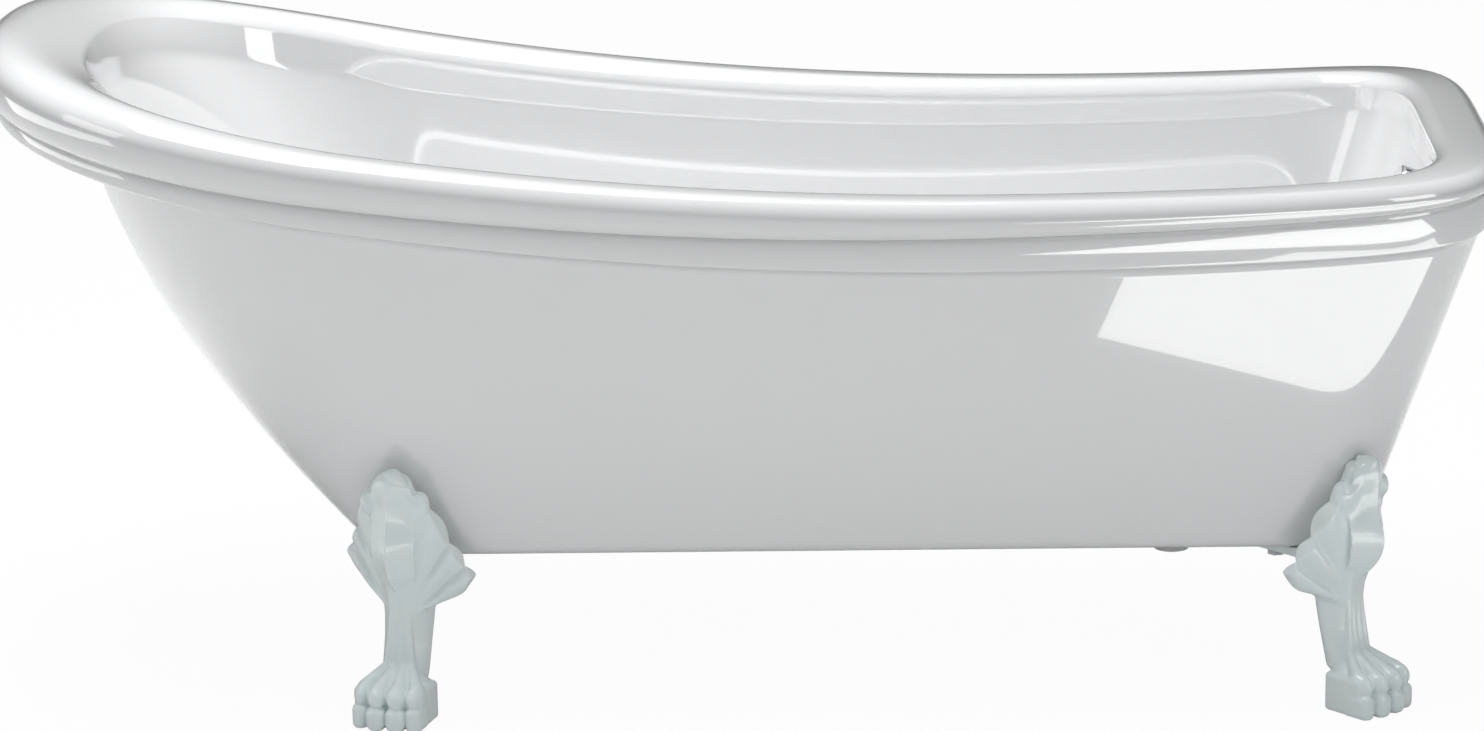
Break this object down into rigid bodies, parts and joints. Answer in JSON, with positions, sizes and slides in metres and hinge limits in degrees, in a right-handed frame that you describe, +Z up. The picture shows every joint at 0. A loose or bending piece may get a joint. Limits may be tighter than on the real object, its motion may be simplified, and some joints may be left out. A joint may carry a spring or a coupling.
{
  "type": "clawfoot bathtub",
  "caption": "Freestanding slipper bathtub with a rolled rim, a double skin, claw legs with levelling pads, a click plug waste and an overflow.",
  "frame": {"origin": "on the floor, under the middle of the rim's overall length and width", "axes": "+X along the tub to its low foot end, where the waste and overflow are; -X to the raised slipper end; +Z up"},
  "size_m": [1.7003, 0.7856, 0.7346],
  "materials": {
    "acrylic_white": "high gloss sanitary acrylic",
    "leg_paint": "satin paint over a casting",
    "board": "raw board",
    "bolt_steel": "zinc plated",
    "leveller_steel": "zinc plated",
    "chrome": "polished",
    "rubber": "matt",
    "black_plastic": "matt",
    "white_plastic": "satin"
  },
  "bodies": {
    "tub": {"basin": "acrylic_white", "outer_shell": "acrylic_white", "base_board": "board", "claw_leg_head_right": "leg_paint", "claw_leg_foot_right": "leg_paint", "claw_leg_head_left": "leg_paint", "claw_leg_foot_left": "leg_paint", "leg_plate_head_right": "bolt_steel", "leg_plate_foot_right": "bolt_steel", "leg_plate_head_left": "bolt_steel", "leg_plate_foot_left": "bolt_steel", "leg_bolts": "bolt_steel", "leg_washers": "bolt_steel", "waste_flange": "chrome", "waste_gasket": "rubber", "waste_washer": "rubber", "waste_nut": "black_plastic", "waste_body": "white_plastic", "overflow_cover": "chrome", "overflow_screw": "chrome", "overflow_gasket": "rubber", "overflow_body": "white_plastic", "overflow_pipe": "white_plastic", "pipe_nuts": "black_plastic"},
    "waste_plug": {"waste_plug": "chrome", "plug_seal": "rubber"},
    "leveller_head_right": {"leveller_head_right": "leveller_steel"},
    "leveller_foot_right": {"leveller_foot_right": "leveller_steel"},
    "leveller_head_left": {"leveller_head_left": "leveller_steel"},
    "leveller_foot_left": {"leveller_foot_left": "leveller_steel"}
  },
  "joints": [
    {"name": "leveller_head_right_screw_out", "type": "slide", "parent": "tub", "child": "leveller_head_right", "axis": [0, 0, -1], "range_m": [0, 0.012]},
    {"name": "leveller_foot_right_screw_out", "type": "slide", "parent": "tub", "child": "leveller_foot_right", "axis": [0, 0, -1], "range_m": [0, 0.012]},
    {"name": "leveller_head_left_screw_out", "type": "slide", "parent": "tub", "child": "leveller_head_left", "axis": [0, 0, -1], "range_m": [0, 0.012]},
    {"name": "leveller_foot_left_screw_out", "type": "slide", "parent": "tub", "child": "leveller_foot_left", "axis": [0, 0, -1], "range_m": [0, 0.012]},
    {"name": "waste_plug_lift", "type": "slide", "parent": "tub", "child": "waste_plug", "axis": [0, 0, 1], "range_m": [0, 0.01]}
  ]
}
